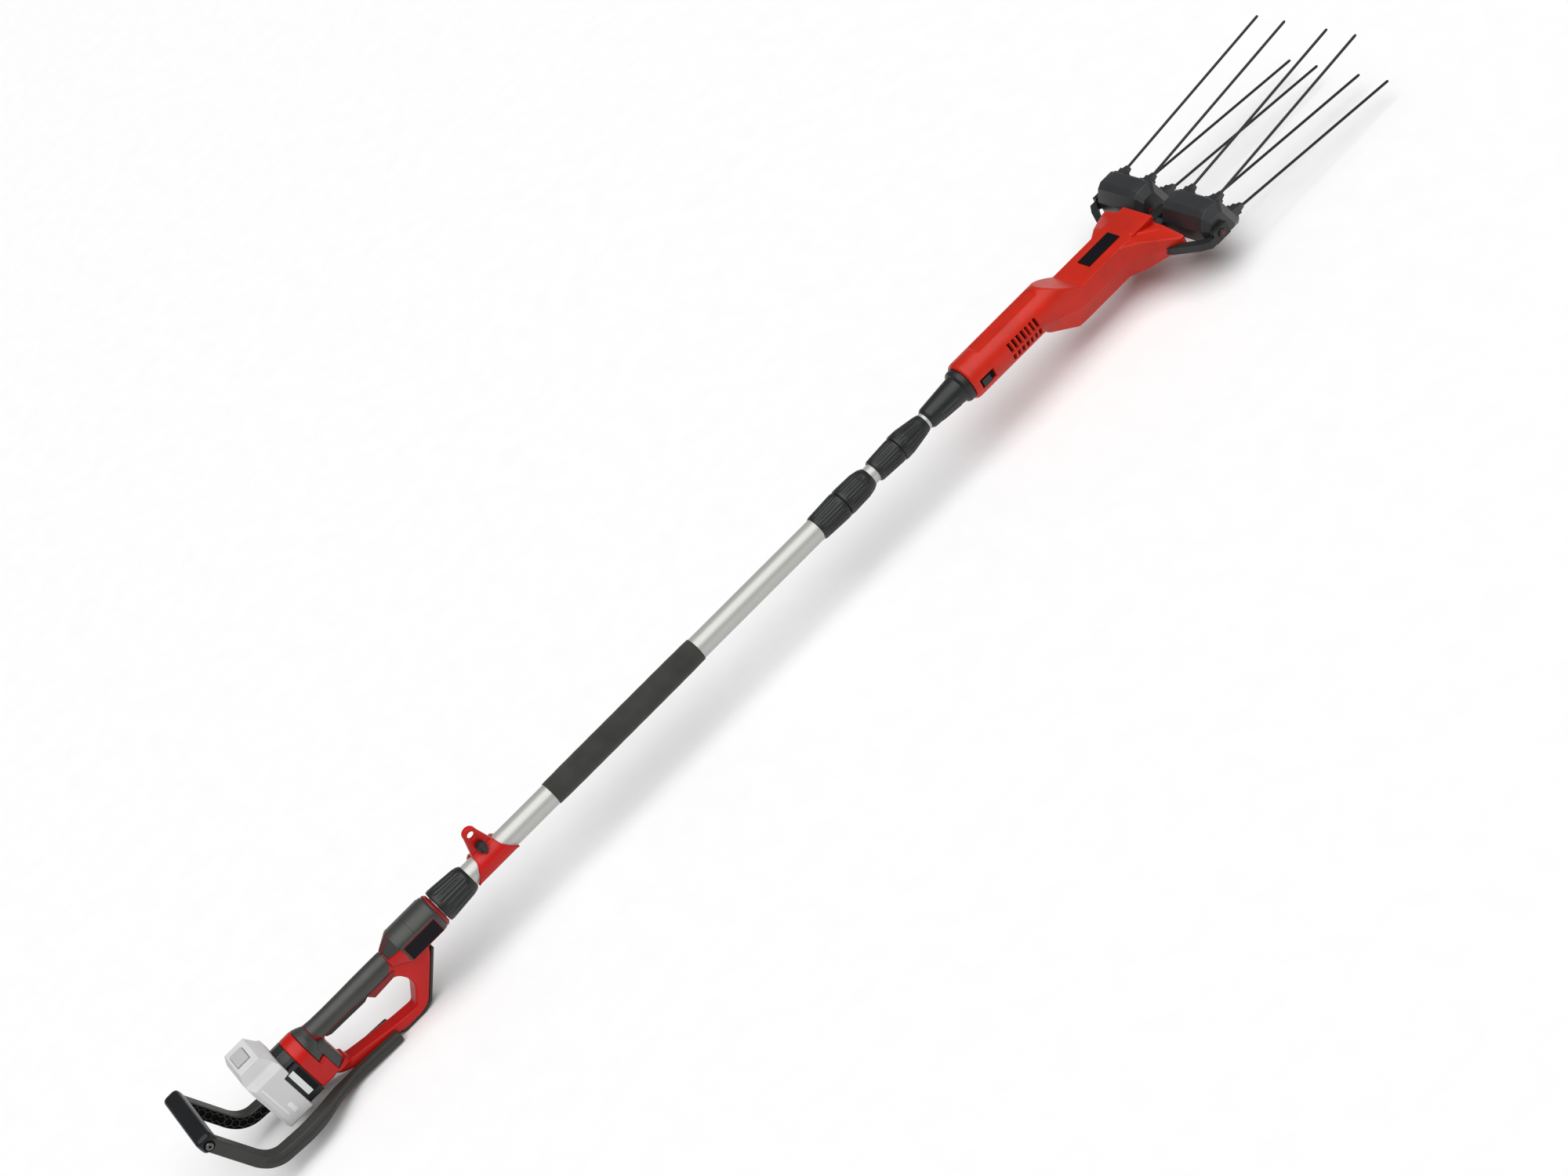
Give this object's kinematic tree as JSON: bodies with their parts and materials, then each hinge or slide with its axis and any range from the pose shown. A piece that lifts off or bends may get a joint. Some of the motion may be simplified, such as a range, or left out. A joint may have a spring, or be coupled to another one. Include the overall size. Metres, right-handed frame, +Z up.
{
  "type": "cordless telescopic fruit harvester",
  "caption": "Telescopic pole tool with a battery handle, a guard bow, a twist clamp and a motor head that rocks two tined rakes in opposite phase.",
  "frame": {"origin": "on the floor, under the middle of the tool", "axes": "+X along the pole towards the tines, +Z up, out of the back of the grip, +Y to the left of the person holding it"},
  "size_m": [2.2385, 0.263, 0.1705],
  "materials": {
    "red_plastic": "moulded, satin gloss",
    "deep_red_plastic": "moulded, satin gloss",
    "grip_rubber": "soft-touch overmould, matte",
    "black_plastic": "fine grain",
    "charcoal_plastic": "fine grain, glass filled",
    "foam": "closed-cell foam",
    "silver_tube": "anodised, satin",
    "steel": "machined",
    "pack_plastic": "pale grey moulded",
    "motor_can": "drawn can",
    "tine_rod": "pultruded composite rod, smooth",
    "board": "lacquered circuit board"
  },
  "bodies": {
    "handle": {"handle_shell_left": "red_plastic", "handle_shell_right": "red_plastic", "grip_rubber": "grip_rubber", "neck_panel": "grip_rubber", "barrel_rubber": "grip_rubber", "barrel_ring": "deep_red_plastic", "loop_bumper": "black_plastic", "battery_dock": "black_plastic", "terminal_block": "black_plastic", "control_board": "board", "trigger_switch": "charcoal_plastic", "handle_lead": "black_plastic", "handle_nameplate": "black_plastic", "dock_label": "black_plastic", "guard_arm_right": "charcoal_plastic", "guard_arm_left": "charcoal_plastic", "guard_crossbar": "black_plastic", "guard_screw_right": "steel", "guard_screw_left": "steel", "outer_tube": "silver_tube", "foam_sleeve": "foam", "clamp_body": "black_plastic", "clamp_sleeve": "charcoal_plastic"},
    "trigger": {"trigger": "black_plastic"},
    "battery": {"battery_case": "pack_plastic"},
    "battery_latch": {"battery_latch": "pack_plastic"},
    "coupling_nut": {"coupling_nut": "black_plastic"},
    "strap_bracket": {"strap_bracket": "red_plastic"},
    "bracket_knob": {"bracket_knob": "black_plastic"},
    "clamp_collar": {"clamp_collar": "black_plastic"},
    "front_pole": {"inner_tube": "silver_tube", "coiled_lead": "black_plastic", "head_cone": "black_plastic", "neck_band": "silver_tube", "head_neck": "black_plastic", "housing_top": "red_plastic", "housing_bottom": "red_plastic", "head_nameplate": "black_plastic", "motor": "motor_can", "bearing_rear": "steel", "bearing_front": "steel", "gearbox_plate": "charcoal_plastic", "yoke": "black_plastic", "rocker_shaft": "deep_red_plastic"},
    "head_ring": {"head_ring": "black_plastic"},
    "head_switch": {"head_switch": "black_plastic"},
    "crank": {"crank_gear": "steel"},
    "motor_rotor": {"motor_pinion": "steel"},
    "rake_left": {"rake_left": "charcoal_plastic", "tine_left_inner_upper": "tine_rod", "tine_left_inner_lower": "tine_rod", "tine_left_outer_upper": "tine_rod", "tine_left_outer_lower": "tine_rod"},
    "rake_right": {"rake_right": "charcoal_plastic", "tine_right_inner_upper": "tine_rod", "tine_right_inner_lower": "tine_rod", "tine_right_outer_upper": "tine_rod", "tine_right_outer_lower": "tine_rod"}
  },
  "joints": [
    {"name": "trigger_press", "type": "hinge", "parent": "handle", "child": "trigger", "pos_m": [-0.82713, 0, 0.093], "axis": [0, 1, 0], "range_deg": [0, 4], "stiffness_Nm_per_rad": 2, "springref_deg": -5.73},
    {"name": "battery_slide", "type": "slide", "parent": "handle", "child": "battery", "axis": [0, 0, 1], "range_m": [0, 0.07]},
    {"name": "battery_latch_press", "type": "slide", "parent": "battery", "child": "battery_latch", "axis": [0, 0, -1], "range_m": [0, 0.004], "stiffness_N_per_m": 2000, "springref_m": -0.002},
    {"name": "coupling_nut_turn", "type": "hinge", "parent": "handle", "child": "coupling_nut", "pos_m": [-0.64113, 0, 0.108], "axis": [1, 0, 0], "range_deg": [0, 270]},
    {"name": "strap_bracket_slide", "type": "slide", "parent": "handle", "child": "strap_bracket", "axis": [1, 0, 0], "range_m": [0, 0.075]},
    {"name": "bracket_knob_turn", "type": "hinge", "parent": "strap_bracket", "child": "bracket_knob", "pos_m": [-0.57113, -0.01, 0.137], "axis": [0, 1, 0], "range_deg": [0, 180]},
    {"name": "clamp_collar_turn", "type": "hinge", "parent": "handle", "child": "clamp_collar", "pos_m": [0.15087, 0, 0.108], "axis": [1, 0, 0], "range_deg": [0, 120]},
    {"name": "pole_telescope", "type": "slide", "parent": "handle", "child": "front_pole", "axis": [1, 0, 0], "range_m": [0, 0.55]},
    {"name": "head_ring_turn", "type": "hinge", "parent": "front_pole", "child": "head_ring", "pos_m": [0.21287, 0, 0.108], "axis": [1, 0, 0], "range_deg": [0, 180]},
    {"name": "head_switch_slide", "type": "slide", "parent": "front_pole", "child": "head_switch", "axis": [1, 0, 0], "range_m": [0, 0.006]},
    {"name": "crank_spin", "type": "hinge", "parent": "front_pole", "child": "crank", "pos_m": [0.55287, 0, 0.082], "axis": [1, 0, 0], "continuous": true},
    {"name": "motor_spin", "type": "hinge", "parent": "front_pole", "child": "motor_rotor", "pos_m": [0.55287, 0, 0.108], "axis": [1, 0, 0], "continuous": true},
    {"name": "rake_left_swing", "type": "hinge", "parent": "front_pole", "child": "rake_left", "pos_m": [0.76087, 0, 0.072], "axis": [0, 1, 0], "range_deg": [-8, 8]},
    {"name": "rake_right_swing", "type": "hinge", "parent": "front_pole", "child": "rake_right", "pos_m": [0.76087, 0, 0.072], "axis": [0, 1, 0], "range_deg": [-8, 8]}
  ],
  "couplings": [
    {"joint": "motor_spin", "follows": "crank_spin", "ratio": -3.3333},
    {"joint": "rake_right_swing", "follows": "rake_left_swing", "ratio": -1}
  ]
}
